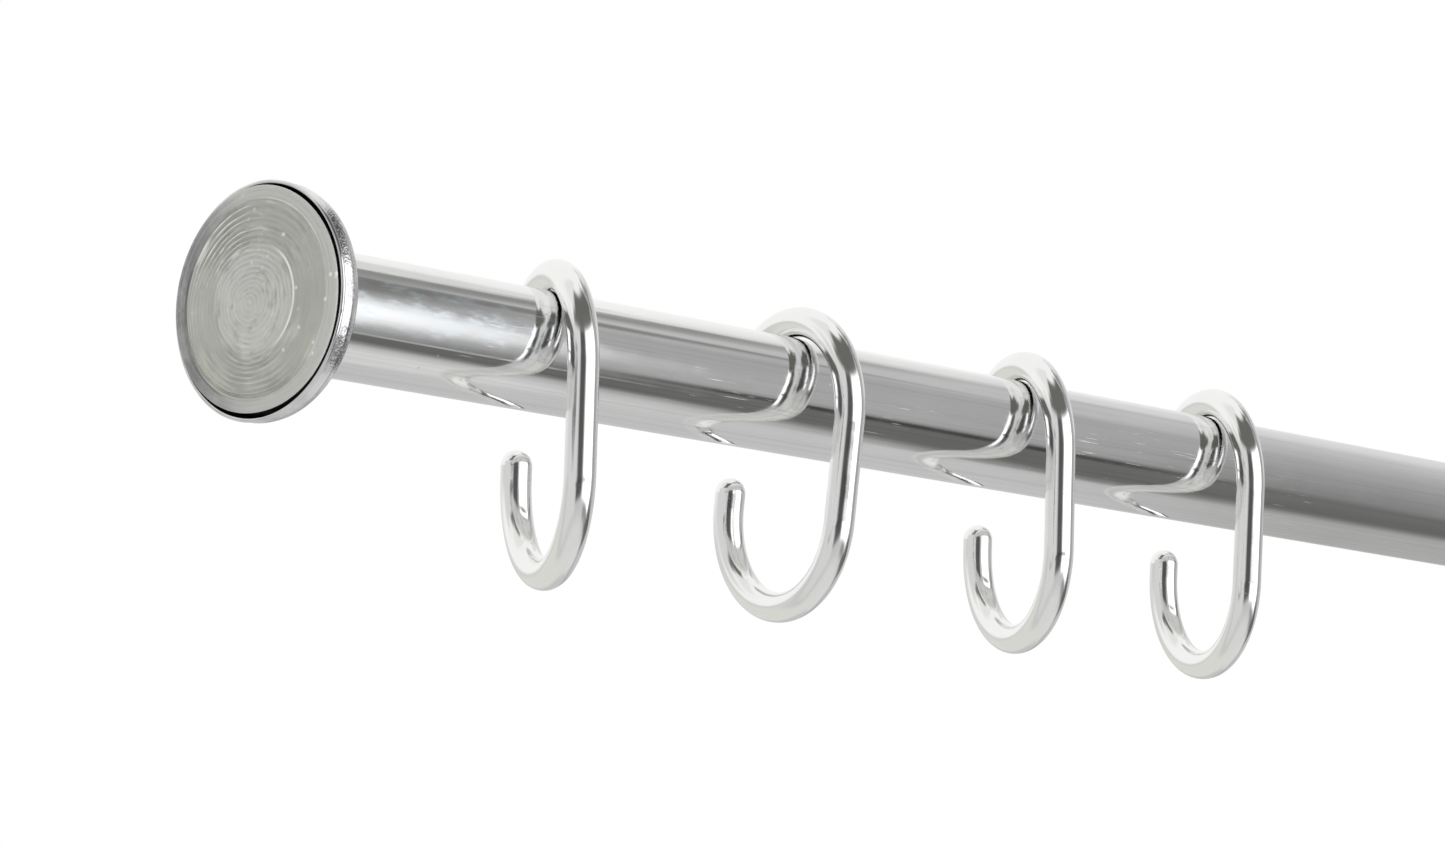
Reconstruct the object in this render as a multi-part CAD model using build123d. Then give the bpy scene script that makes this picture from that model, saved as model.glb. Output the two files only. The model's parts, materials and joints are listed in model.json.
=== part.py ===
"""Extendable chrome tension rail with ribbed rubber end pads and four sliding C-hooks.

Millimetres. The rail runs along +X with +Z up. The origin is the nub in the middle of the
first pad, which is where the rail first touches the wall. The rail is drawn fully closed.
"""
import os
from math import cos, radians, sin
from build123d import *

# Rail
CLOSED_LENGTH = 600.0
OUTER_LENGTH = 550.0
OUTER_R = 11.0
INNER_R = 9.5
TUBE_WALL = 0.8
INNER_WALL = 0.7
INNER_START = 73.0
EDGE_BREAK = 0.2

# Running clearances, on the radius, and the gap between parts that only pass each other
RUN = 0.07
GAP = 0.3

# End pad
PAD_R = 19.9
PAD_NECK_R = 19.2
PAD_NECK_X = 1.85
PAD_EDGE_X = 1.4
PAD_EDGE_ROUND = 0.2
PAD_BACK_CHAMFER = 1.3
NUB_R = 0.8
NUB_H = 0.3
RIM_WIDTH = 2.7
RIM_RISE = 0.4
RIDGES = 18
RIDGE_DEPTH = 0.3
POCKET_R = 9.3
POCKET_X = 2.4

# End cup
CUP_R = 20.7
CUP_LIP_X = 2.0
CUP_WALL = 0.65
CUP_SEAT_X = 5.8
CUP_BACK_X = 6.8
CUP_BACK_ROUND = 2.0
CUP_SEAT_ROUND = 1.0
CUP_LIP_ROUND = 0.3

# Fasteners and plugs at the ends
SCREW_R = 2.0
SCREW_HOLE_R = 2.2
SCREW_LENGTH = 14.0
HEAD_R = 3.8
HEAD_H = 2.2
WASHER_R = 6.0
WASHER_T = 1.0
DRIVE_WIDTH = 0.9
DRIVE_SPAN = 4.2
DRIVE_DEPTH = 1.2
PILOT_R = 1.6
PLUG_LENGTH = 18.0
PLUG_RIBS = 8
PLUG_RIB_WIDTH = 1.6
PLUG_RIB_HEIGHT = 0.6
PLUG_FLANGE = 2.5

# Collar in the mouth of the outer tube
COLLAR_R = 12.0
COLLAR_CAP = 3.0
COLLAR_SKIRT = 6.0
COLLAR_SLEEVE = 16.0
COLLAR_ROUND = 0.8
COLLAR_PLAY = 0.03

# Twist lock: an eccentric spigot turns inside a cam ring and wedges it in the outer tube
CAM_OFFSET = 1.0
CAM_RING_R = 9.2
CAM_RING_LENGTH = 11.6
CAM_RING_SPLIT = 1.6
SPIGOT_R = 7.0
SPIGOT_LENGTH = 12.0
CAM_WASHER_R = 8.4
FLANGE_R = 9.0
FLANGE_T = 2.0
GLIDE_LENGTH = 7.6
JOURNAL_R = 8.0
JOURNAL_LENGTH = 7.8
GLIDE_SPLIT = 1.5

# Spring compression: the inner tube is pushed over the stem of the lock core
SPRING_TRAVEL = 15.0
STEM_R = 8.72
STEM_END = 32.0
PIN_R = 1.5
PIN_PLAY = 0.1
PIN_FROM_TUBE_END = 25.0
GUIDE_ROD_R = 4.0
GUIDE_ROD_LENGTH = 20.0
SPRING_WIRE_R = 0.8
SPRING_MEAN_R = 7.0
SPRING_TURNS = 7
SPRING_ROOM = 40.0
STOP_LENGTH = 8.0
STOP_HOLE_R = 3.0

# C-hooks of round wire. Each one hangs at x, turned about the vertical, swung and leant a little.
WIRE_R = 2.85
HOOK_R = 17.65
HOOK_SHANK = 18.4
HOOK_TIP = 2.6
HOOK_OVER = 135.0
HOOK_LIFT = 0.15
HOOK_TURN_X = [73.7, 138.9, 206.3, 267.3]
HOOK_YAW = [-27.0, -12.0, -24.0, -24.0]
HOOK_SWING = [8.0, 13.5, 7.5, 11.0]
HOOK_LEAN = [1.0, 0.0, 0.5, 0.0]

# Places along the rail that follow from the above
OUTER_END = CUP_BACK_X + OUTER_LENGTH
INNER_END = CLOSED_LENGTH - CUP_BACK_X
OUTER_BORE_R = OUTER_R - TUBE_WALL
INNER_BORE_R = INNER_R - INNER_WALL
PIN_X = INNER_START + PIN_FROM_TUBE_END
STEM_START = INNER_START - SPRING_TRAVEL - 1.0
STEM_STOP = INNER_START + STEM_END
JOURNAL_END = STEM_START - FLANGE_T
JOURNAL_START = JOURNAL_END - JOURNAL_LENGTH
SPIGOT_END = JOURNAL_START - FLANGE_T
SPIGOT_START = SPIGOT_END - SPIGOT_LENGTH
STOP_START = STEM_STOP + SPRING_ROOM


def rod(radius, start, end, z=0.0):
    """A cylinder along X."""
    return Pos((start + end) / 2, 0, z) * Rot(0, 90, 0) * Cylinder(radius, end - start)


def pipe(outer, inner, start, end, z=0.0):
    """A hollow cylinder along X."""
    return rod(outer, start, end, z) - rod(inner, start - 1, end + 1, z)


def circles(shape, x):
    """The circular edges of a shape that lie in the plane at x."""
    return shape.edges().filter_by(GeomType.CIRCLE).filter_by_position(Axis.X, x - 0.01, x + 0.01)


def round_edges(shape, x, radius):
    return fillet(circles(shape, x), radius)


def at_far_end(shape):
    """Turn a piece of the first end round to face the other wall."""
    return Pos(CLOSED_LENGTH, 0, 0) * Rot(0, 0, 180) * shape


# ---------------------------------------------------------------- ends
def end_pad():
    """A shallow cone with a nub, concentric V ridges, a bevelled rim and a screw pocket behind."""
    ridge_end = PAD_R - RIM_WIDTH
    pitch = (ridge_end - NUB_R) / RIDGES
    slope = (PAD_EDGE_X - NUB_H) / PAD_R

    def face_x(radius):
        return NUB_H + slope * radius

    outline = [(0, 0), (0, NUB_R * 0.8)]
    for ridge in range(RIDGES):
        valley = NUB_R + pitch * ridge
        peak = valley + pitch / 2
        outline.append((face_x(valley) + RIDGE_DEPTH, valley))
        outline.append((face_x(peak), peak))
    outline.append((face_x(ridge_end) + RIDGE_DEPTH, ridge_end))
    outline.append((PAD_EDGE_X - RIM_RISE, ridge_end + RIDGE_DEPTH / 2))
    outline.append((PAD_EDGE_X, PAD_R - PAD_EDGE_ROUND))
    outline.append((PAD_EDGE_X + PAD_EDGE_ROUND / 2, PAD_R))
    outline.append((PAD_EDGE_X + PAD_EDGE_ROUND, PAD_R))
    outline.append((PAD_NECK_X, PAD_NECK_R))
    outline.append((CUP_SEAT_X - PAD_BACK_CHAMFER, PAD_NECK_R))
    outline.append((CUP_SEAT_X, PAD_NECK_R - PAD_BACK_CHAMFER))
    outline.append((CUP_SEAT_X, POCKET_R))
    outline.append((POCKET_X, POCKET_R))
    outline.append((POCKET_X, 0))
    return revolve(make_face(Polyline(*outline, close=True)), Axis.X)


def end_cup():
    """A pressed cup that holds the pad, with a rolled lip and a rounded back."""
    outside = round_edges(rod(CUP_R, CUP_LIP_X, CUP_BACK_X), CUP_BACK_X, CUP_BACK_ROUND)
    inside = round_edges(rod(CUP_R - CUP_WALL, 0, CUP_SEAT_X), CUP_SEAT_X, CUP_SEAT_ROUND)
    cup = outside - inside
    cup = round_edges(cup, CUP_LIP_X, CUP_LIP_ROUND)
    return cup - rod(SCREW_HOLE_R, 0, CLOSED_LENGTH)


def pan_screw(head_end, length, z=0.0):
    """A pan-head screw along X whose head rests at head_end."""
    top = head_end - HEAD_H
    head = round_edges(rod(HEAD_R, top, head_end, z), top, HEAD_H * 0.45)
    for turn in (0, 90):
        slot = Box(DRIVE_DEPTH * 2, DRIVE_WIDTH, DRIVE_SPAN)
        head -= Pos(top, 0, z) * Rot(turn, 0, 0) * slot
    shank = rod(SCREW_R, head_end, head_end + length - SCREW_R, z)
    point_x = head_end + length - SCREW_R / 2
    point = Pos(point_x, 0, z) * Rot(0, 90, 0) * Cone(SCREW_R, SCREW_R / 4, SCREW_R)
    return head + shank + point


def washer(radius, seat, z=0.0):
    """A flat washer whose back is at seat."""
    return pipe(radius, SCREW_HOLE_R, seat - WASHER_T, seat, z)


def end_plug(radius):
    """A ribbed plastic plug pressed into a tube end, bored for the screw."""
    start = CUP_BACK_X
    end = start + PLUG_LENGTH
    body_r = radius - PLUG_RIB_HEIGHT
    plug = rod(body_r, start, end) + rod(radius, start, start + PLUG_FLANGE)
    for rib in range(PLUG_RIBS):
        block = Box(PLUG_LENGTH, PLUG_RIB_WIDTH, PLUG_RIB_HEIGHT * 3)
        middle = (start + end) / 2
        plug += Rot(rib * 360 / PLUG_RIBS, 0, 0) * Pos(middle, 0, body_r) * block
    plug = plug & rod(radius, start, end)
    return plug - rod(PILOT_R, start - 1, end + 1)


# ---------------------------------------------------------------- tubes
def outer_tube():
    tube = pipe(OUTER_R, OUTER_BORE_R, CUP_BACK_X, OUTER_END)
    return chamfer(circles(tube, OUTER_END), EDGE_BREAK)


def inner_tube():
    tube = pipe(INNER_R, INNER_BORE_R, INNER_START, INNER_END)
    tube = chamfer(circles(tube, INNER_START), EDGE_BREAK)
    return tube - Pos(PIN_X, 0, 0) * Rot(90, 0, 0) * Cylinder(PIN_R, OUTER_R * 2)


def mouth_collar():
    """A plastic collar clipped over the mouth of the outer tube, which guides the inner tube."""
    bore = INNER_R + RUN
    cap_end = OUTER_END + COLLAR_CAP
    cap = pipe(COLLAR_R, bore, OUTER_END, cap_end)
    cap = fillet(circles(cap, cap_end).sort_by(SortBy.RADIUS)[-1], COLLAR_ROUND)
    skirt = pipe(COLLAR_R, OUTER_R + COLLAR_PLAY, OUTER_END - COLLAR_SKIRT, OUTER_END)
    sleeve = pipe(OUTER_BORE_R - COLLAR_PLAY, bore, OUTER_END - COLLAR_SLEEVE, OUTER_END)
    return cap + skirt + sleeve


# ---------------------------------------------------------------- twist lock and spring
def lock_core():
    """One moulding: eccentric spigot, journal between two flanges, slotted stem and guide rod."""
    core = rod(SPIGOT_R, SPIGOT_START, SPIGOT_END, CAM_OFFSET)
    core += rod(FLANGE_R, SPIGOT_END, JOURNAL_START)
    core += rod(JOURNAL_R, JOURNAL_START, JOURNAL_END)
    core += rod(FLANGE_R, JOURNAL_END, STEM_START)
    core += rod(STEM_R, STEM_START, STEM_STOP)
    core += rod(GUIDE_ROD_R, STEM_STOP, STEM_STOP + GUIDE_ROD_LENGTH)
    slot_end = PIN_X + PIN_R + PIN_PLAY
    slot_start = PIN_X - SPRING_TRAVEL - PIN_R - PIN_PLAY
    slot = Box(slot_end - slot_start, OUTER_R * 2, (PIN_R + PIN_PLAY) * 2)
    core -= Pos((slot_start + slot_end) / 2, 0, 0) * slot
    return core - rod(PILOT_R, SPIGOT_START - 1, SPIGOT_START + SCREW_LENGTH, CAM_OFFSET)


def cam_ring():
    """A split ring whose bore is off centre by as much as the spigot it sits on."""
    start = SPIGOT_START + (SPIGOT_LENGTH - CAM_RING_LENGTH) / 2
    end = start + CAM_RING_LENGTH
    ring = rod(CAM_RING_R, start, end) - rod(SPIGOT_R + RUN, start - 1, end + 1, CAM_OFFSET)
    split = Box(SPIGOT_LENGTH * 2, CAM_RING_SPLIT, CAM_RING_R)
    return ring - Pos(start, 0, -CAM_RING_R) * split


def glide_ring():
    """A split plastic ring that centres the lock in the outer tube and slides along it."""
    start = JOURNAL_START + (JOURNAL_LENGTH - GLIDE_LENGTH) / 2
    ring = pipe(OUTER_BORE_R - RUN, JOURNAL_R + RUN, start, start + GLIDE_LENGTH)
    split = Box(JOURNAL_LENGTH * 2, GLIDE_SPLIT, JOURNAL_R)
    return ring - Pos(start, 0, OUTER_R) * split


def cross_pin():
    """A pin through both walls of the inner tube, which slides in the slot of the core."""
    return Pos(PIN_X, 0, 0) * Rot(90, 0, 0) * Cylinder(PIN_R, INNER_R * 2 - EDGE_BREAK)


def main_spring():
    """A compression spring between the stem of the core and the stop in the inner tube."""
    length = SPRING_ROOM - GAP - 2 * SPRING_WIRE_R
    coil = Helix(pitch=length / SPRING_TURNS, height=length, radius=SPRING_MEAN_R)
    wire = sweep(Plane(origin=coil @ 0, z_dir=coil % 0) * Circle(SPRING_WIRE_R), path=coil, is_frenet=True)
    return Pos(STEM_STOP + SPRING_WIRE_R, 0, 0) * Rot(0, 90, 0) * wire


def spring_stop():
    """A plug crimped into the inner tube for the spring to push on."""
    return pipe(INNER_BORE_R, STOP_HOLE_R, STOP_START, STOP_START + STOP_LENGTH)


# ---------------------------------------------------------------- hooks
def hook_wire():
    """One C-hook about the centre of its top arc: over the rail, down the shank, up to the tip."""
    over = radians(HOOK_OVER)
    back_end = Vector(0, -HOOK_R * cos(over), HOOK_R * sin(over))
    shank_top = Vector(0, -HOOK_R, 0)
    shank_foot = Vector(0, -HOOK_R, -HOOK_SHANK)
    lowest = Vector(0, 0, -HOOK_SHANK - HOOK_R)
    tip_foot = Vector(0, HOOK_R, -HOOK_SHANK)
    tip_end = tip_foot + Vector(0, 0, HOOK_TIP)
    crown = Vector(0, -HOOK_R * cos(over / 2), HOOK_R * sin(over / 2))
    path = ThreePointArc(back_end, crown, shank_top) + Line(shank_top, shank_foot)
    path = path + ThreePointArc(shank_foot, lowest, tip_foot) + Line(tip_foot, tip_end)
    hook = sweep(Plane(origin=path @ 0, z_dir=path % 0) * Circle(WIRE_R), path=path)
    for end in (back_end, tip_end):
        hook += Pos(*end) * Sphere(WIRE_R)
    return hook


def hung_hook(number):
    """A hook hanging on the rail: swung on its arc, leant over its contact, turned and placed."""
    drop = OUTER_R - (HOOK_R - WIRE_R) + HOOK_LIFT
    hook = Pos(0, 0, drop) * Rot(HOOK_SWING[number], 0, 0) * hook_wire()
    hook = Pos(0, 0, OUTER_R) * Rot(0, HOOK_LEAN[number], 0) * Pos(0, 0, -OUTER_R) * hook
    return Pos(HOOK_TURN_X[number], 0, 0) * Rot(0, 0, HOOK_YAW[number]) * hook


# ---------------------------------------------------------------- all pieces
pieces = {
    "outer_tube": outer_tube(),
    "mouth_collar": mouth_collar(),
    "near_pad": end_pad(),
    "near_cup": end_cup(),
    "near_washer": washer(WASHER_R, CUP_SEAT_X),
    "near_screw": pan_screw(CUP_SEAT_X - WASHER_T, SCREW_LENGTH),
    "near_plug": end_plug(OUTER_BORE_R),
    "glide_ring": glide_ring(),
    "lock_core": lock_core(),
    "cam_ring": cam_ring(),
    "cam_washer": washer(CAM_WASHER_R, SPIGOT_START, CAM_OFFSET),
    "cam_screw": pan_screw(SPIGOT_START - WASHER_T, SCREW_LENGTH - WASHER_T, CAM_OFFSET),
    "main_spring": main_spring(),
    "spring_stop": spring_stop(),
    "cross_pin": cross_pin(),
    "inner_tube": inner_tube(),
    "far_plug": at_far_end(end_plug(INNER_BORE_R)),
    "far_cup": at_far_end(end_cup()),
    "far_washer": at_far_end(washer(WASHER_R, CUP_SEAT_X)),
    "far_screw": at_far_end(pan_screw(CUP_SEAT_X - WASHER_T, SCREW_LENGTH)),
    "far_pad": at_far_end(end_pad()),
}
for hook_number in range(len(HOOK_TURN_X)):
    pieces[f"hook_{hook_number + 1}"] = hung_hook(hook_number)

os.makedirs("parts", exist_ok=True)
for node, shape in pieces.items():
    export_step(shape, f"parts/{node}.step")
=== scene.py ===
"""Looks for the chrome tension rail: camera, studio surroundings, materials and detailed pieces."""
import json
from math import atan2, cos, hypot, pi, radians, sin, tau

import bmesh
import bpy
from mathutils import Matrix, Vector, noise


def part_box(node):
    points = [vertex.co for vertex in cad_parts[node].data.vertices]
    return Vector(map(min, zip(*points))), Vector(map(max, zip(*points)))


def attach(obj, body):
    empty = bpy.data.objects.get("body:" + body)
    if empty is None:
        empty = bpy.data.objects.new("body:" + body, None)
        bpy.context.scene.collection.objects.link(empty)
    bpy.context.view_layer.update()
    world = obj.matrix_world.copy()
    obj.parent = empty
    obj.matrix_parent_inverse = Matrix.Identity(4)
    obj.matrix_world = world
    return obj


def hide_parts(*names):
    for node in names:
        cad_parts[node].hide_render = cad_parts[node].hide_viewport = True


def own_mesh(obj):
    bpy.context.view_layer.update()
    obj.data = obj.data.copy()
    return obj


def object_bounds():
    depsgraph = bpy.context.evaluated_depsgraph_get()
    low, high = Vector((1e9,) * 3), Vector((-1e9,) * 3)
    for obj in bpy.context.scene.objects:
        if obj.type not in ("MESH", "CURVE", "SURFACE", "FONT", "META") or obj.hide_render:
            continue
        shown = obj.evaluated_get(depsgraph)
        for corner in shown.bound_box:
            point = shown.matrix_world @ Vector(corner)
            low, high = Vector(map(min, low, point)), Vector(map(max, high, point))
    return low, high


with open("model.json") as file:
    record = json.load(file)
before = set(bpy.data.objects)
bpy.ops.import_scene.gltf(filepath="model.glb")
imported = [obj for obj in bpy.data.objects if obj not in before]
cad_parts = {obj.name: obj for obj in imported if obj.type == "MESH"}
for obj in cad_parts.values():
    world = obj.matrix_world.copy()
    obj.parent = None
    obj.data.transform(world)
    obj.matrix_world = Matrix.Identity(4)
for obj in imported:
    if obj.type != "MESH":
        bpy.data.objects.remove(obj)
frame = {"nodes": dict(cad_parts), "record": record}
cad_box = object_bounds()

MM = 0.001
MM_PER_M = 1000.0
RAIL_LENGTH = round(cad_box[1][0], 4)

# The noise grid is turned and shifted, so that none of its planes is a plane of symmetry
NOISE_TURN = (0.5, 0.0, 0.0)
NOISE_SHIFT = (0.37, 0.71, 0.43)

# End pad, in millimetres: a shallow cone with a nub, ridges and a plain rim
PAD_STEPS = 256
PAD_NUB_R = 0.8
PAD_NUB_X = 0.3
PAD_SLOPE = 0.0553
PAD_FACE_BACK = 2.0
PAD_RIM_START = 17.2
PAD_POCKET_R = 9.3
PAD_RIDGES = 18
PAD_RIDGE_POINTS = 8
PAD_RIDGE_DEPTH = 0.3
PAD_LIFT = 0.28
PAD_SAG = 0.982
PAD_RING_OFFSET = (0.45, -0.85)

# End cup, in millimetres
CUP_STEPS = 192
CUP_BEAD_X = 2.42
CUP_BEAD_R = 0.42
CUP_BEAD_MIDDLE = 20.36
CUP_FLOOR_X = 5.8
CUP_BACK_X = 6.8
CUP_HOLE_R = 2.2
CUP_GROOVE_R = 20.28
CUP_BELLY_R = 20.64
CUP_CORNER_X = 5.1
CUP_CORNER_R = 1.7
CUP_CORNER_MIDDLE = 18.75

# Spring in the lock, in millimetres
SPRING_TURNS = 7
SPRING_STEPS = 48
SPRING_SIDES = 12
SPRING_WIRE_R = 0.8
SPRING_MEAN_R = 7.0
SPRING_PITCH = 5.0
SPRING_CLOSED_TURNS = 0.8
SPRING_OPENING_TURNS = 0.4

# Camera, to the left of the rail's near end and a little below it
CAMERA_AZIMUTH = -48.233
CAMERA_ELEVATION = -10.868
CAMERA_ROLL = -2.152
CAMERA_PLACE = (-0.62120, -0.66095, -0.19805)
CAMERA_LENS = 136.27

WALL_LIGHT_PLACE = (-0.75, -1.25, -0.1)
WALL_LIGHT_SIZE = 0.5
WALL_LIGHT_POWER = 8.4

FLOOR_Z = -0.27
FLOOR_SIZE = 14.0

# The studio's cards, each painted over the ones before it: tone, bearing from and to, height from and
# to, softness of the edges, and how much the card climbs to the right. Angles are in degrees. Bearing 0
# is towards -Y and 90 towards +X.
CARDS = (
    # floor under the rail, and behind it
    ((0.74, 0.74, 0.735), 60, 125, -90, -44.6, 1.3),
    ((0.74, 0.74, 0.70), 146, 200, -90, 6, 8.0),
    ((0.74, 0.74, 0.70), -200, -150, -90, 6, 8.0),
    # wall at the near end
    ((0.70, 0.70, 0.70), -140, -70, -40, 32, 9.0),
    # dark ceiling over the camera, and a pale one behind the rail
    ((0.145, 0.147, 0.135), -108, 52, 32, 72, 5.0),
    ((0.84, 0.84, 0.83), -150, -96, 44, 90, 8.0),
    # top of the wall beyond the far end, with its dark edge and the light past that edge
    ((0.56, 0.56, 0.56), 40, 97, 22, 42, 5.0),
    ((0.31, 0.31, 0.30), 56, 91, 41, 60, 2.5),
    ((0.74, 0.74, 0.73), 95, 114, 43.5, 54, 2.0),
    ((0.74, 0.74, 0.73), 84, 97, 45, 54, 1.5),
    # that wall, and shadows on it
    ((0.42, 0.42, 0.42), 38, 75, -28, 31, 4.0),
    ((0.27, 0.27, 0.265), 52, 65.5, 33.5, 43, 2.0),
    ((0.20, 0.20, 0.195), 48, 68, -24, -12, 3.0, 1.0),
    # floor at the camera's side, dark towards the far end, with a line and a slit in the dark part
    ((0.33, 0.33, 0.33), 0, 58, -45, -30, 4.0),
    ((0.15, 0.15, 0.145), 50.5, 86, -40, -16, 4.0),
    ((0.06, 0.06, 0.055), 50.5, 84, -22, -18, 1.5),
    ((0.46, 0.46, 0.47), 42, 55, -30.0, -28.2, 0.7),
    # softbox
    ((1.6, 1.6, 1.63), -24, 44.0, -31, 30, 3.5),
    # camera, and what stands under it
    ((0.12, 0.12, 0.115), -73, -40, -29, -12, 5.0),
    ((0.095, 0.095, 0.09), -67, -31, -28, 34, 6.0),
    ((0.05, 0.05, 0.05), -78, 0, -14.5, -11.5, 1.0),
)


# ---------------------------------------------------------------- small helpers for shader nodes
class Tree:
    """Adds nodes to a shader tree. An input given as a socket is linked, and as a value is set."""

    def __init__(self, tree):
        self.tree = tree
        tree.nodes.clear()

    def put(self, socket, value):
        if isinstance(value, bpy.types.NodeSocket):
            self.tree.links.new(value, socket)
        else:
            socket.default_value = value

    def add(self, kind, inputs=None, **settings):
        made = self.tree.nodes.new(kind)
        for name, value in settings.items():
            setattr(made, name, value)
        for name, value in (inputs or {}).items():
            self.put(made.inputs[name], value)
        return made

    def math(self, operation, *values):
        made = self.add("ShaderNodeMath", operation=operation)
        for socket, value in zip(made.inputs, values):
            self.put(socket, value)
        return made.outputs[0]

    def times(self, first, *others):
        for other in others:
            first = self.math("MULTIPLY", first, other)
        return first

    def away(self, value, middle):
        """How far a value is from a middle, on either side."""
        return self.math("ABSOLUTE", self.math("SUBTRACT", value, middle))

    def spread(self, value, low, high, to_low=0.0, to_high=1.0, smooth=False):
        """Maps low..high to to_low..to_high, and holds the ends beyond."""
        made = self.add("ShaderNodeMapRange")
        made.interpolation_type = "SMOOTHSTEP" if smooth else "LINEAR"
        made.clamp = True
        for socket, given in zip(made.inputs, (value, low, high, to_low, to_high)):
            self.put(socket, given)
        return made.outputs[0]

    def blend(self, amount, first, second):
        """The first colour where the amount is 0, and the second where it is 1."""
        made = self.add("ShaderNodeMix", data_type="RGBA")
        colour_sockets = [socket for socket in made.inputs if socket.type == "RGBA"]
        self.put(made.inputs[0], amount)
        self.put(colour_sockets[0], first)
        self.put(colour_sockets[1], second)
        return next(socket for socket in made.outputs if socket.type == "RGBA")

    def object_place(self):
        return self.add("ShaderNodeTexCoord").outputs["Object"]

    def xyz(self):
        return self.add("ShaderNodeSeparateXYZ", {0: self.object_place()}).outputs

    def noise_place(self, scale=(1, 1, 1)):
        """Object coordinates, stretched, with the noise grid kept off the planes of symmetry."""
        made = self.add("ShaderNodeMapping", {"Vector": self.object_place(), "Scale": scale})
        self.put(made.inputs["Rotation"], NOISE_TURN)
        self.put(made.inputs["Location"], NOISE_SHIFT)
        return made.outputs[0]

    def noise(self, scale, detail=2.0, stretch=(1, 1, 1), roughness=0.5):
        made = self.add("ShaderNodeTexNoise", {"Vector": self.noise_place(stretch), "Scale": scale})
        self.put(made.inputs["Detail"], detail)
        self.put(made.inputs["Roughness"], roughness)
        return made.outputs[0]

    def specks(self, scale, size, stretch=(1, 1, 1)):
        """1 inside scattered round specks and 0 outside."""
        made = self.add("ShaderNodeTexVoronoi", {"Vector": self.noise_place(stretch), "Scale": scale})
        return self.spread(made.outputs["Distance"], size, size * 0.5)

    def arcs(self, pitch, length, detail=3.0):
        """Noise drawn out into arcs around the rail's axis: pitch in millimetres, length in turns."""
        x, y, z = self.xyz()
        radius = self.math("SQRT", self.math("ADD", self.times(y, y), self.times(z, z)))
        radius = self.math("MAXIMUM", radius, 0.1 * MM)
        made = self.add("ShaderNodeCombineXYZ", {0: self.math("DIVIDE", radius, pitch * MM)})
        for index, part in ((1, y), (2, z)):
            turned_part = self.math("DIVIDE", self.math("DIVIDE", part, radius), length * tau)
            self.put(made.inputs[index], turned_part)
        drawn = {"Vector": made.outputs[0], "Scale": 1.0, "Detail": detail}
        return self.add("ShaderNodeTexNoise", drawn).outputs[0]

    def radius(self):
        """Distance from the rail's axis, in millimetres."""
        x, y, z = self.xyz()
        squares = self.math("ADD", self.times(y, y), self.times(z, z))
        return self.times(self.math("SQRT", squares), MM_PER_M)

    def depth(self):
        """Distance from the nearer end of the rail, in millimetres."""
        half = RAIL_LENGTH / 2
        return self.times(self.math("SUBTRACT", half, self.away(self.xyz()[0], half)), MM_PER_M)

    def side(self):
        """Distance across the rail towards +Y, in millimetres."""
        return self.times(self.xyz()[1], MM_PER_M)

    def lift(self):
        """Height over the rail's axis, in millimetres."""
        return self.times(self.xyz()[2], MM_PER_M)

    def bump(self, height, distance, after=None):
        made = self.add("ShaderNodeBump", {"Height": height, "Distance": distance, "Strength": 1.0})
        if after is not None:
            self.put(made.inputs["Normal"], after)
        return made.outputs[0]


def rgb(red, green, blue):
    return (red, green, blue, 1.0)


def material(name, finish):
    """A new material whose Principled shader gets what finish(tree) returns."""
    made = bpy.data.materials.new(name)
    made.use_nodes = True
    tree = Tree(made.node_tree)
    shader = tree.add("ShaderNodeBsdfPrincipled", finish(tree))
    output = tree.add("ShaderNodeOutputMaterial")
    tree.put(output.inputs["Surface"], shader.outputs[0])
    return made


# ---------------------------------------------------------------- materials
def tube_chrome(tree):
    """Bright plate with draw lines, hairline scratches, pits and a buffed haze near the cups."""
    depth = tree.depth()
    lines = tree.noise(1.0, 5.0, (6, 1500, 1500), 0.65)
    bands = tree.noise(1.0, 2.0, (2.5, 420, 420))
    haze = tree.noise(60.0, 5.0, (0.5, 1, 1))
    mottle = tree.noise(420.0, 4.0, (0.35, 1, 1))
    swell = tree.noise(1.0, 1.0, (18, 60, 60))

    hairs = tree.spread(tree.noise(1.0, 2.0, (90, 3000, 3000)), 0.64, 0.72)
    scratched = tree.spread(haze, 0.48, 0.6)
    pits = tree.times(tree.specks(520.0, 0.12, (0.6, 1, 1)), tree.spread(tree.noise(45.0, 2.0), 0.5, 0.6))
    pits = tree.times(pits, tree.spread(depth, 90.0, 150.0, 1.0, 0.25))
    middle = tree.spread(tree.away(tree.lift(), 0.5), 6.5, 2.0, smooth=True)
    by_cup = tree.times(tree.spread(depth, 85.0, 35.0, smooth=True), tree.spread(mottle, 0.4, 0.62), middle)
    buffed = tree.spread(tree.noise(1300.0, 3.0, (0.3, 1, 1)), 0.35, 0.65)

    rough = tree.spread(mottle, 0.35, 0.7, 0.03, 0.1)
    rough = tree.math("ADD", rough, tree.times(pits, 0.45))
    rough = tree.math("ADD", rough, tree.times(hairs, scratched, 0.3))
    rough = tree.math("ADD", rough, tree.times(by_cup, buffed, 0.16))

    normal = tree.bump(swell, 0.04 * MM)
    normal = tree.bump(bands, 0.012 * MM, after=normal)
    normal = tree.bump(lines, 0.0035 * MM, after=normal)
    normal = tree.bump(mottle, 0.0025 * MM, after=normal)

    colour = tree.blend(tree.spread(haze, 0.3, 0.7), rgb(0.84, 0.84, 0.84), rgb(0.90, 0.90, 0.895))
    colour = tree.blend(tree.spread(lines, 0.5, 0.75, 0.0, 0.5), colour, rgb(0.62, 0.62, 0.625))
    colour = tree.blend(tree.times(by_cup, 0.7), colour, rgb(0.87, 0.93, 0.96))
    return {"Base Color": colour, "Metallic": 1.0, "Roughness": rough, "Normal": normal}


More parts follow.
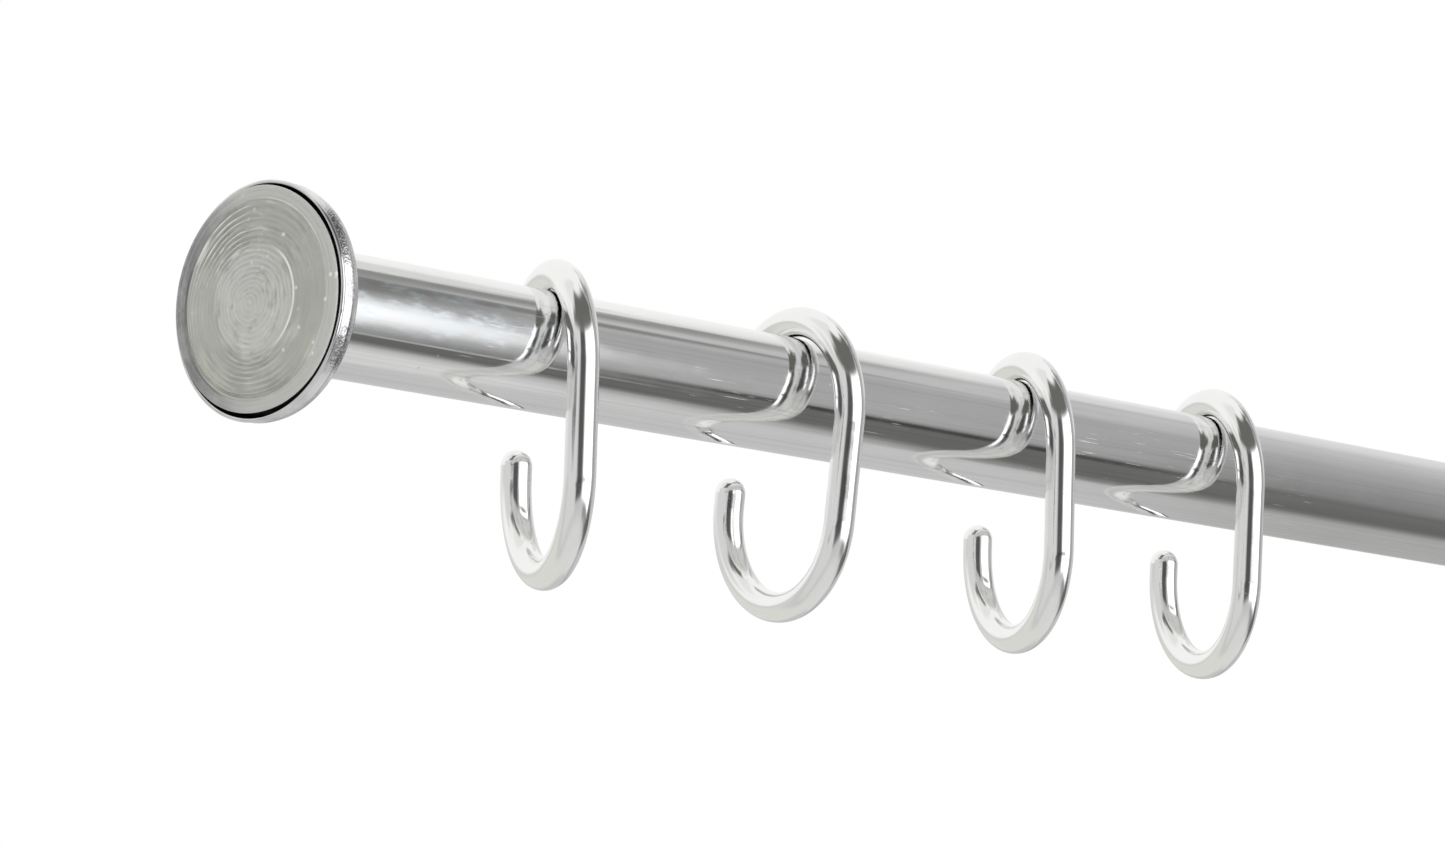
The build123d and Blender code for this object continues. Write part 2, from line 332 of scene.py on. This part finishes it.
def cup_chrome(tree):
    """Bright plate over a finely grained pressing, which sparkles, with two painted dark reflections on the
    side and painted shade on the rougher inside wall.
    """
    radius = tree.radius()
    depth = tree.depth()
    grain = tree.noise(2600.0, 2.0)
    patch = tree.noise(150.0, 3.0)
    strength = tree.spread(patch, 0.4, 0.6, 0.1, 1.0)
    side = tree.spread(depth, 2.9, 3.4, 0.12, 1.0)
    normal = tree.bump(tree.times(grain, tree.times(strength, side)), 0.15 * MM)

    # painted shade: the inside wall, deep in the narrow gap beside the pad
    inside = tree.times(tree.spread(radius, 20.15, 20.0), tree.spread(depth, 2.35, 2.55))
    inside = tree.times(inside, tree.spread(depth, 6.3, 6.1))
    rough = tree.math("ADD", 0.04, tree.times(tree.spread(patch, 0.35, 0.65, 0.04, 0.16), side))
    rough = tree.math("ADD", rough, tree.times(inside, 0.4))

    # painted reflections: two dark stretches of the side, one below and one above, with ragged edges
    ragged = tree.times(tree.math("SUBTRACT", patch, 0.5), 14.0)
    height = tree.math("ADD", tree.lift(), ragged)
    low = tree.spread(tree.away(height, -12.0), 4.4, 1.6)
    high = tree.spread(tree.away(height, 11.5), 2.6, 0.6)
    dark_reflection = tree.times(tree.math("ADD", low, high), tree.spread(grain, 0.36, 0.56))
    dark_reflection = tree.times(dark_reflection, side, 0.85)

    colour = tree.blend(tree.spread(patch, 0.35, 0.65), rgb(0.80, 0.80, 0.81), rgb(0.62, 0.62, 0.63))
    # painted reflection: the side darkened in two stretches
    colour = tree.blend(dark_reflection, colour, rgb(0.20, 0.20, 0.205))
    # painted shade on the inside wall
    colour = tree.blend(inside, colour, rgb(0.10, 0.10, 0.095))
    return {"Base Color": colour, "Metallic": 1.0, "Roughness": rough, "Normal": normal}


def hook_chrome(tree):
    """Polished plate on drawn wire."""
    haze = tree.noise(260.0, 3.0)
    swell = tree.noise(120.0, 1.0)
    marks = tree.times(tree.specks(700.0, 0.12), tree.spread(haze, 0.5, 0.6))
    rough = tree.math("ADD", tree.spread(haze, 0.3, 0.7, 0.085, 0.17), tree.times(marks, 0.2))
    normal = tree.bump(swell, 0.02 * MM)
    normal = tree.bump(haze, 0.006 * MM, after=normal)
    colour = tree.blend(haze, rgb(0.88, 0.88, 0.873), rgb(0.93, 0.93, 0.927))
    return {"Base Color": colour, "Metallic": 1.0, "Roughness": rough, "Normal": normal}


def vinyl_body(tree, colour_cloud, radius):
    """Grey-green, paler over the screw pocket and yellower low down."""
    colour = tree.blend(
        tree.spread(colour_cloud, 0.3, 0.7), rgb(0.42, 0.425, 0.39), rgb(0.49, 0.495, 0.455)
    )
    pocket = tree.spread(radius, PAD_POCKET_R + 1.0, PAD_POCKET_R - 0.6, smooth=True)
    colour = tree.blend(pocket, colour, rgb(0.60, 0.605, 0.57))
    low = tree.spread(tree.lift(), 4.0, -12.0, smooth=True)
    low = tree.times(low, tree.spread(colour_cloud, 0.35, 0.6), 0.4)
    return tree.blend(low, colour, rgb(0.58, 0.60, 0.48))


def vinyl_arcs_and_glints(tree, colour, radius, on_face, painted_glints):
    """Dark broken arcs, and painted glints drawn as light broken arcs, both fewer beside the pocket and at
    the very middle.
    """
    arcs = tree.arcs(0.9, 0.06)
    steep = tree.times(tree.math("ABSOLUTE", tree.lift()), 1.3)
    flat = tree.math("SUBTRACT", tree.math("ABSOLUTE", tree.side()), steep)
    flat = tree.math("MAXIMUM", tree.spread(flat, 0.0, 6.0, 1.0, 0.3), tree.spread(radius, 10.3, 9.3))
    clear = tree.times(tree.spread(tree.arcs(2.6, 0.1), 0.4, 0.6), flat)
    clear = tree.times(clear, on_face, tree.spread(radius, 1.2, 5.0, 0.15, 1.0))
    dark = tree.times(tree.spread(arcs, 0.5, 0.36, 0.0, 0.55), clear)
    # painted glints: the light broken arcs, strongest at the upper left of the face
    light = tree.times(tree.spread(arcs, 0.53, 0.67, 0.0, 0.6), tree.times(clear, painted_glints))
    colour = tree.blend(dark, colour, rgb(0.26, 0.265, 0.245))
    return tree.blend(tree.math("MINIMUM", light, 0.9), colour, rgb(0.84, 0.845, 0.81))


def vinyl_rim(tree, colour, radius, colour_cloud):
    """Painted light and shade on the rim: pale on the side towards the wall light and dark on the side away
    from it, with a fine edge painted pale on the lit side and dark on the other.
    """
    rim = tree.spread(radius, PAD_RIM_START - 0.4, PAD_RIM_START + 0.6, smooth=True)
    # painted light and shade: the rim pale towards -Y, where the wall light stands, and dark towards +Y
    rim_light_and_shade = tree.spread(tree.side(), 1.0, 16.0, smooth=True)
    rim_light_and_shade = tree.blend(rim_light_and_shade, rgb(0.58, 0.585, 0.56), rgb(0.19, 0.19, 0.20))
    streaks = tree.times(tree.spread(tree.noise(330.0, 3.0), 0.45, 0.7), 0.35)
    rim_light_and_shade = tree.blend(streaks, rim_light_and_shade, rgb(0.62, 0.63, 0.60))
    colour = tree.blend(tree.times(rim, 0.85), colour, rim_light_and_shade)
    # painted highlight and shade: a fine line at the rim's inner edge, pale towards -Y and dark towards +Y
    edge = tree.spread(tree.away(radius, PAD_RIM_START + 0.25), 0.08, 0.3, 0.7, 0.0)
    edge = tree.times(edge, tree.spread(colour_cloud, 0.4, 0.55))
    away_from_wall_light = tree.spread(tree.side(), -6.0, 6.0)
    edge_highlight_and_shade = tree.blend(away_from_wall_light, rgb(0.85, 0.86, 0.84), rgb(0.12, 0.12, 0.13))
    return tree.blend(edge, colour, edge_highlight_and_shade)


def pad_vinyl(tree):
    """Translucent grey-green soft vinyl with painted highlights on the crests and the pocket's crease,
    painted shade in the valleys and on the side wall behind the face, broken arcs with painted glints, and
    bubbles.
    """
    radius = tree.radius()
    depth = tree.depth()
    cloud = tree.noise(110.0, 3.0)
    pale = rgb(0.95, 0.955, 0.92)
    on_face = tree.spread(radius, PAD_RIM_START, PAD_RIM_START - 0.3)
    # painted glints: a mask, strongest at the upper left of the face, that lightens the crests and the
    # light arcs there
    painted_glints = tree.math("ADD", tree.times(tree.side(), 0.6), tree.times(tree.lift(), 0.8))
    painted_glints = tree.spread(painted_glints, 5.0, 11.0, 0.5, 1.8)

    colour = vinyl_body(tree, cloud, radius)
    colour = vinyl_arcs_and_glints(tree, colour, radius, on_face, painted_glints)

    # rise is how far a point stands out of the middle of the ridges
    face = tree.math("ADD", tree.times(radius, PAD_SLOPE), PAD_NUB_X + PAD_RIDGE_DEPTH * 0.5)
    rise = tree.math("SUBTRACT", face, depth)
    broken = tree.spread(tree.noise(210.0, 4.0), 0.38, 0.62, 0.25, 1.0)
    # painted highlight: the crests of the ridges made pale, most at the upper left
    crest = tree.times(tree.spread(rise, 0.02, 0.13, 0.0, 0.75), on_face)
    crest = tree.math("MINIMUM", tree.times(crest, tree.times(broken, painted_glints)), 1.0)
    colour = tree.blend(crest, colour, pale)
    # painted highlight: a pale line on the crease at the pocket's edge, only on the side towards the wall
    # light (-Y)
    crease_highlight = tree.spread(tree.away(radius, PAD_POCKET_R + 0.5), 0.12, 0.3, 0.95, 0.0)
    crease_highlight = tree.times(crease_highlight, tree.spread(tree.side(), -3.0, -8.0))
    colour = tree.blend(crease_highlight, colour, pale)
    # painted shade: the valleys between the ridges made darker
    valley_shade = tree.times(tree.spread(rise, -0.02, -0.15, 0.0, 0.4), on_face)
    colour = tree.blend(valley_shade, colour, rgb(0.30, 0.305, 0.28))

    colour = vinyl_rim(tree, colour, radius, cloud)
    bubbles = tree.times(tree.specks(380.0, 0.2), tree.spread(tree.noise(130.0, 1.0), 0.5, 0.56))
    bubbles = tree.times(bubbles, tree.spread(tree.side(), 6.0, -9.0, 0.0, 0.8))
    colour = tree.blend(bubbles, colour, pale)
    # painted shade: the pad's side wall behind the face, deep in the gap by the cup, made nearly black
    colour = tree.blend(tree.spread(depth, 1.8, 2.0), colour, rgb(0.05, 0.05, 0.045))
    return {
        "Base Color": colour,
        "Roughness": tree.spread(cloud, 0.3, 0.7, 0.16, 0.3),
        "Normal": tree.bump(tree.noise(1500.0, 3.0), 0.02 * MM),
        "IOR": 1.5,
        "Coat Weight": 0.8,
        "Coat Roughness": 0.1,
        "Subsurface Weight": 0.2,
        "Subsurface Radius": (0.8 * MM, 0.8 * MM, 0.7 * MM),
        "Subsurface Scale": 1.0,
    }


def plastic(dark, light, rough_low, rough_high):
    """Moulded plastic between two tones, with a fine spark-eroded grain."""

    def finish(tree):
        cloud = tree.noise(140.0, 3.0)
        normal = tree.bump(tree.noise(1800.0, 2.0), 0.005 * MM)
        rough = tree.spread(cloud, 0.3, 0.7, rough_low, rough_high)
        return {"Base Color": tree.blend(cloud, dark, light), "Roughness": rough, "Normal": normal}

    return finish


def mottled_steel(scale, dark, light, rough_low, rough_high):
    """Dull steel, slightly mottled between two tones."""

    def finish(tree):
        mottle = tree.noise(scale, 4.0)
        rough = tree.spread(mottle, 0.3, 0.7, rough_low, rough_high)
        return {"Base Color": tree.blend(mottle, dark, light), "Metallic": 1.0, "Roughness": rough}

    return finish


FINISHES = {
    "rail_chrome": tube_chrome,
    "cup_chrome": cup_chrome,
    "hook_chrome": hook_chrome,
    "pad_rubber": pad_vinyl,
    "collar_plastic": plastic(rgb(0.74, 0.74, 0.73), rgb(0.84, 0.84, 0.83), 0.35, 0.5),
    "plug_plastic": plastic(rgb(0.62, 0.62, 0.60), rgb(0.76, 0.76, 0.73), 0.4, 0.6),
    "ring_nylon": plastic(rgb(0.70, 0.68, 0.60), rgb(0.82, 0.80, 0.72), 0.35, 0.55),
    "core_nylon": plastic(rgb(0.02, 0.02, 0.022), rgb(0.045, 0.045, 0.05), 0.35, 0.55),
    "zinc_steel": mottled_steel(900.0, rgb(0.50, 0.51, 0.54), rgb(0.72, 0.72, 0.74), 0.25, 0.45),
    "spring_steel": mottled_steel(700.0, rgb(0.16, 0.15, 0.15), rgb(0.30, 0.29, 0.28), 0.3, 0.5),
}
materials = {name: material(name + "_look", finish) for name, finish in FINISHES.items()}
slot_of = {part["node"]: part["material_slot"] for part in frame["record"]["subparts"]}
body_of = {}
for body_name, members in frame["record"]["behaviour"]["bodies"].items():
    for member in members:
        body_of[member] = body_name
for node_name, node_object in frame["nodes"].items():
    for material_slot in node_object.material_slots:
        material_slot.material = materials[slot_of[node_name]]


# ---------------------------------------------------------------- detailed pieces
def piece(name, made, stands_for, sharp=40.0, far=False):
    """Turns a bmesh into a piece that stands for a CAD node and rides on its body."""
    if far:
        made.transform(Matrix.Translation((RAIL_LENGTH, 0, 0)) @ Matrix.Rotation(pi, 4, "Z"))
    bmesh.ops.recalc_face_normals(made, faces=made.faces)
    mesh = bpy.data.meshes.new(name)
    made.to_mesh(mesh)
    made.free()
    mesh.shade_smooth()
    mesh.set_sharp_from_angle(angle=radians(sharp))
    mesh.materials.append(materials[slot_of[stands_for]])
    shown = bpy.data.objects.new(name, mesh)
    bpy.context.scene.collection.objects.link(shown)
    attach(shown, body_of[stands_for])
    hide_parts(stands_for)
    return shown


def turned(profile, steps, shift=None):
    """A shape turned about X from a closed loop of (x, radius) points, in millimetres.

    shift(spot, radius, angle) may move each point; angle is 0 towards +Y and a quarter turn is up.
    """
    made = bmesh.new()
    rings = []
    for x, radius in profile:
        if radius == 0:
            middle = Vector((x, 0, 0))
            rings.append([made.verts.new((shift(middle, 0.0, 0.0) if shift else middle) * MM)] * steps)
            continue
        ring = []
        for step in range(steps):
            angle = tau * step / steps
            spot = Vector((x, radius * cos(angle), radius * sin(angle)))
            ring.append(made.verts.new((shift(spot, radius, angle) if shift else spot) * MM))
        rings.append(ring)
    for index, ring in enumerate(rings):
        following = rings[(index + 1) % len(rings)]
        if profile[index][1] == 0 and profile[(index + 1) % len(rings)][1] == 0:
            continue
        for step in range(steps):
            after = (step + 1) % steps
            corners = dict.fromkeys((ring[step], ring[after], following[after], following[step]))
            made.faces.new(list(corners))
    return made


def pad_face_x(radius):
    return PAD_NUB_X + PAD_SLOPE * radius


def pad_profile():
    """Nub, ridges, rim and neck, from the middle of the face outwards and back to the axis behind."""
    nub = [(0.36, 0.0), (0.38, 0.25), (0.44, 0.42), (0.54, 0.6)]
    ridges = []
    pitch = (PAD_RIM_START - PAD_NUB_R) / PAD_RIDGES
    for index in range(PAD_RIDGES * PAD_RIDGE_POINTS + 1):
        crest = 0.5 - 0.5 * cos(tau * index / PAD_RIDGE_POINTS)
        radius = PAD_NUB_R + pitch * index / PAD_RIDGE_POINTS
        ridges.append((pad_face_x(radius) + PAD_RIDGE_DEPTH * (1 - crest ** 2), radius))
    # a low bead, two shallow waves and a rounded lip
    rim = [(1.5, 17.3), (1.38, 17.38), (1.3, 17.5), (1.28, 17.65), (1.3, 17.8), (1.33, 17.9)]
    rim += [(1.24, 18.0), (1.2, 18.15), (1.23, 18.4), (1.27, 18.7), (1.32, 18.85), (1.26, 18.95)]
    rim += [(1.25, 19.15), (1.28, 19.45), (1.33, 19.7), (1.39, 19.84), (1.46, 19.9)]
    rim += [(1.54, 19.93), (1.7, 19.9), (1.8, 19.8), (1.87, 19.6), (1.98, 19.35), (2.2, 19.15)]
    # the neck, a snug fit in the cup, and the pocket for the screw
    neck = [(3.0, 19.1), (4.5, 19.1), (5.2, 18.8), (5.8, 18.0), (5.8, 14.0), (5.8, 9.5)]
    neck += [(5.6, 9.3), (4.0, 9.3), (2.6, 9.3), (2.4, 9.1), (2.4, 5.0), (2.4, 0.0)]
    return nub + ridges + rim + neck


def near_angle(angle, middle, half):
    """1 at an angle in degrees, fading to 0 half degrees away on either side."""
    away = abs((angle * 180 / pi - middle + 180) % 360 - 180)
    return 0.5 + 0.5 * cos(pi * min(1.0, away / half))


def ramp(value, start, span):
    """0 up to start, and rising to 1 over the span."""
    return max(0.0, min(1.0, (value - start) / span))


def ridge_strength(radius, angle):
    """Ridges are crisp at the upper left and below, faint in the middle and almost smooth at the sides."""
    crisp = 1.35 * near_angle(angle, 64, 48) + 0.9 * near_angle(angle, 275, 52)
    crisp += 0.3 * near_angle(angle, 130, 45)
    crisp += 0.45 * near_angle(angle, 0, 70) * ramp(radius, 14.5, 1.5)
    outer = ramp(radius, PAD_POCKET_R, 1.2)
    return 0.42 * (1 - outer) + min(1.45, 0.12 + crisp) * outer


def waver(spot):
    return noise.noise(spot, noise_basis="PERLIN_NEW")


def worn(spot, radius, angle):
    """Ridges off centre, a little out of round, and worn shallower in places."""
    if spot.x > PAD_FACE_BACK or radius > PAD_RIM_START + 0.01:
        return spot
    turn = Vector((cos(angle), sin(angle), 0))
    drift = 0.34 * waver(turn * 1.3 + Vector((0.4, 0.3, radius * 0.21)))
    drift += 0.1 * waver(turn * 4.0 + Vector((0.4, 3.3, radius * 0.5)))
    patchy = 0.8 + 0.9 * waver(turn * 2.6 + Vector((5.4, 0.3, radius * 0.9)))
    height = spot.x - pad_face_x(radius)
    face = pad_face_x(radius) + PAD_RIDGE_DEPTH * 0.5
    moved = face + (height - PAD_RIDGE_DEPTH * 0.5) * patchy * ridge_strength(radius, angle)
    if radius < PAD_NUB_R:
        moved = spot.x
    settle = min(1.0, (PAD_RIM_START + 0.01 - radius) / 1.6)
    outward = drift * min(1.0, radius / 4.0)
    off_y, off_z = PAD_RING_OFFSET
    across = (turn.x * outward + off_y) * settle
    up = (turn.y * outward + off_z) * settle
    return Vector((moved, spot.y + across, spot.z + up))


def pad(name, stands_for, far=False):
    """The pad sits high in its cup and spreads to one side, so the gap around it varies."""
    made = turned(pad_profile(), PAD_STEPS, worn)
    for vertex in made.verts:
        around = atan2(vertex.co.z, vertex.co.y)
        radius = hypot(vertex.co.y, vertex.co.z) / MM
        wider = 0.6 * near_angle(around, 226, 55) - 0.3 * near_angle(around, 130, 48)
        reach = wider * ramp(radius, 12.0, 7.0) * MM
        vertex.co.y += reach * cos(around)
        vertex.co.z += reach * sin(around)
    made.transform(Matrix.Diagonal((1, 1, PAD_SAG, 1)))
    made.transform(Matrix.Translation((0, 0, PAD_LIFT * MM)))
    return piece(name, made, stands_for, far=far)


def cup(name, stands_for, far=False):
    """A pressed cup with a rolled lip, a bellied side and a rounded back with a screw hole."""
    inside = [(CUP_FLOOR_X, CUP_HOLE_R), (CUP_FLOOR_X, 10.0), (CUP_FLOOR_X, 18.6)]
    inside += [(5.6, 19.3), (5.0, 19.75), (3.4, 19.95), (2.6, 20.0)]
    lip = []
    for turn in range(-80, 171, 25):
        bead = radians(turn)
        lip.append((CUP_BEAD_X - CUP_BEAD_R * cos(bead), CUP_BEAD_MIDDLE + CUP_BEAD_R * sin(bead)))
    side = [(2.92, 20.32), (3.1, CUP_GROOVE_R), (3.35, 20.36), (3.7, 20.52)]
    side += [(4.2, CUP_BELLY_R), (4.7, CUP_BELLY_R), (5.1, 20.5)]
    for turn in range(15, 91, 15):
        corner = radians(turn)
        spot = (CUP_CORNER_X + CUP_CORNER_R * sin(corner), CUP_CORNER_MIDDLE + CUP_CORNER_R * cos(corner))
        side.append(spot)
    back = [(CUP_BACK_X, 16.0), (CUP_BACK_X, 12.0), (CUP_BACK_X, CUP_HOLE_R)]
    return piece(name, turned(inside + lip + side + back, CUP_STEPS), stands_for, sharp=50.0, far=far)


def spring(name, stands_for):
    """A round-wire compression spring whose last turn at each end lies closed."""
    made = bmesh.new()
    low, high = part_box(stands_for)
    wire = SPRING_WIRE_R * MM
    start, end = low.x + wire, high.x - wire
    turns = SPRING_TURNS + 2
    advances = []
    for index in range(turns * SPRING_STEPS):
        turn = index / SPRING_STEPS
        opened = min(turn, turns - turn) - SPRING_CLOSED_TURNS
        open_part = min(1.0, max(0.0, opened) / SPRING_OPENING_TURNS)
        advances.append(2 * wire * (1 - open_part) + SPRING_PITCH * MM * open_part)
    scale = (end - start) / sum(advances)
    rings = []
    x = start
    for index, advance in enumerate(advances + [0.0]):
        angle = tau * index / SPRING_STEPS
        outward = Vector((0, cos(angle), sin(angle)))
        middle = Vector((x, 0, 0)) + outward * SPRING_MEAN_R * MM
        ring = []
        for corner in range(SPRING_SIDES):
            side = tau * corner / SPRING_SIDES
            spot = middle + outward * wire * cos(side) + Vector((1, 0, 0)) * wire * sin(side)
            ring.append(made.verts.new(spot))
        rings.append(ring)
        x += advance * scale
    for ring, following in zip(rings, rings[1:]):
        for corner in range(SPRING_SIDES):
            after = (corner + 1) % SPRING_SIDES
            made.faces.new((ring[corner], ring[after], following[after], following[corner]))
    made.faces.new(rings[0])
    made.faces.new(rings[-1])
    return piece(name, made, stands_for)


pad("near_pad_ribbed", "near_pad")
pad("far_pad_ribbed", "far_pad", far=True)
cup("near_cup_rolled", "near_cup")
cup("far_cup_rolled", "far_cup", far=True)
coil = spring("main_spring_coil", "main_spring")
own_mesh(coil)


# ---------------------------------------------------------------- surroundings
def degrees_of(tree, radians_socket):
    return tree.times(radians_socket, 180 / pi)


def card(tree, below, around, above, tone, left, right, bottom, top, soft, tilt=0.0):
    """Paints a soft-edged card over what is below it, between two bearings and two heights."""

    def edge(value, at, low, high):
        return tree.spread(value, at - soft, at + soft, low, high, smooth=True)

    height = tree.math("SUBTRACT", above, tree.times(around, tilt))
    across = tree.times(edge(around, left, 0.0, 1.0), edge(around, right, 1.0, 0.0))
    up = tree.times(edge(height, bottom, 0.0, 1.0), edge(height, top, 1.0, 0.0))
    return tree.blend(tree.times(across, up), below, rgb(*tone))


def far_wall(tree, below, x, turn):
    """Beyond the cards, an even fall from the ceiling down to the floor's edge."""
    fall = tree.math("POWER", tree.spread(turn, 60.0, 240.0, 1.0, 0.0), 1.4)
    wall = tree.blend(fall, rgb(0.15, 0.15, 0.148), rgb(0.76, 0.76, 0.76))
    wall = tree.blend(tree.spread(turn, 246.0, 264.0, smooth=True), wall, rgb(0.42, 0.42, 0.415))
    band = tree.times(tree.spread(x, 0.772, 0.80, smooth=True), tree.spread(x, 0.86, 0.83))
    band = tree.times(band, tree.spread(turn, 62.0, 76.0), 0.85)
    return tree.blend(band, below, wall)


def surroundings():
    """A studio seen only in reflections. The camera itself sees plain white."""
    world = bpy.data.worlds.new("studio")
    bpy.context.scene.world = world
    world.use_nodes = True
    tree = Tree(world.node_tree)
    ray = tree.add("ShaderNodeTexCoord").outputs["Generated"]
    unit = tree.add("ShaderNodeVectorMath", {0: ray}, operation="NORMALIZE").outputs[0]
    x, y, z = tree.add("ShaderNodeSeparateXYZ", {0: unit}).outputs
    # around is the bearing, above the height over the horizon, and turn goes round the rail's axis
    around = degrees_of(tree, tree.math("ARCTAN2", x, tree.times(y, -1.0)))
    above = degrees_of(tree, tree.math("ARCSINE", z))
    turn = tree.math("FLOORED_MODULO", degrees_of(tree, tree.math("ARCTAN2", z, y)), 360.0)

    ground_edge = tree.spread(above, -64.0, -36.0, smooth=True)
    ground = tree.blend(ground_edge, rgb(0.72, 0.72, 0.715), rgb(0.58, 0.58, 0.58))
    # the sky dims towards the far end of the rail, the lower part first
    far_end = tree.math("ADD", x, tree.times(turn, 0.0012))
    high = tree.blend(tree.spread(far_end, 0.80, 0.86), rgb(0.97, 0.97, 0.96), rgb(0.76, 0.76, 0.76))
    sky = tree.blend(tree.spread(above, 4.0, 16.0, smooth=True), ground, high)
    for placed in CARDS:
        sky = card(tree, sky, around, above, *placed)
    sky = far_wall(tree, sky, x, turn)

    studio = tree.add("ShaderNodeBackground", {"Color": sky, "Strength": 1.0})
    white = tree.add("ShaderNodeBackground", {"Color": rgb(1, 1, 1), "Strength": 1.0})
    seen = tree.add("ShaderNodeLightPath").outputs["Is Camera Ray"]
    both = tree.add("ShaderNodeMixShader", {0: seen, 1: studio.outputs[0], 2: white.outputs[0]})
    output = tree.add("ShaderNodeOutputWorld")
    tree.put(output.inputs["Surface"], both.outputs[0])


def floor_paint(tree):
    """Pale matt paint, faintly clouded."""
    colour = tree.blend(tree.noise(2.0, 2.0), rgb(0.80, 0.80, 0.80), rgb(0.84, 0.84, 0.84))
    return {"Base Color": colour, "Roughness": 0.8}


def pale_floor():
    mesh = bpy.data.meshes.new("floor")
    half = FLOOR_SIZE / 2
    corners = [(x * half, y * half, FLOOR_Z) for x, y in ((-1, -1), (1, -1), (1, 1), (-1, 1))]
    mesh.from_pydata(corners, [], [(0, 1, 2, 3)])
    mesh.materials.append(material("floor_look", floor_paint))
    ground = bpy.data.objects.new("floor", mesh)
    bpy.context.scene.collection.objects.link(ground)
    ground.visible_glossy = False
    return ground


def wall_light(ground):
    """A soft light from where the wall would be. It shapes the pad and leaves chrome and floor alone."""
    data = bpy.data.lights.new("wall_light", "AREA")
    data.shape = "DISK"
    data.size = WALL_LIGHT_SIZE
    data.energy = WALL_LIGHT_POWER
    made = bpy.data.objects.new("wall_light", data)
    bpy.context.scene.collection.objects.link(made)
    made.location = WALL_LIGHT_PLACE
    made.rotation_euler = (-Vector(WALL_LIGHT_PLACE)).to_track_quat("-Z", "Y").to_euler()
    made.visible_glossy = False
    made.visible_camera = False
    unlit = bpy.data.collections.new("not_lit_by_wall_light")
    unlit.objects.link(ground)
    made.light_linking.receiver_collection = unlit
    unlit.collection_objects[0].light_linking.link_state = "EXCLUDE"


def camera():
    data = bpy.data.cameras.new("camera")
    data.lens = CAMERA_LENS
    data.clip_start = 0.01
    made = bpy.data.objects.new("camera", data)
    bpy.context.scene.collection.objects.link(made)
    azimuth, elevation = radians(CAMERA_AZIMUTH), radians(CAMERA_ELEVATION)
    level = cos(elevation)
    back = Vector((sin(azimuth) * level, -cos(azimuth) * level, sin(elevation)))
    turn = (-back).to_track_quat("-Z", "Y").to_matrix()
    roll = Matrix.Rotation(radians(CAMERA_ROLL), 3, "Z")
    made.matrix_world = Matrix.Translation(CAMERA_PLACE) @ (turn @ roll).to_4x4()
    bpy.context.scene.camera = made


surroundings()
wall_light(pale_floor())
camera()
bpy.context.scene.view_settings.view_transform = "Standard"
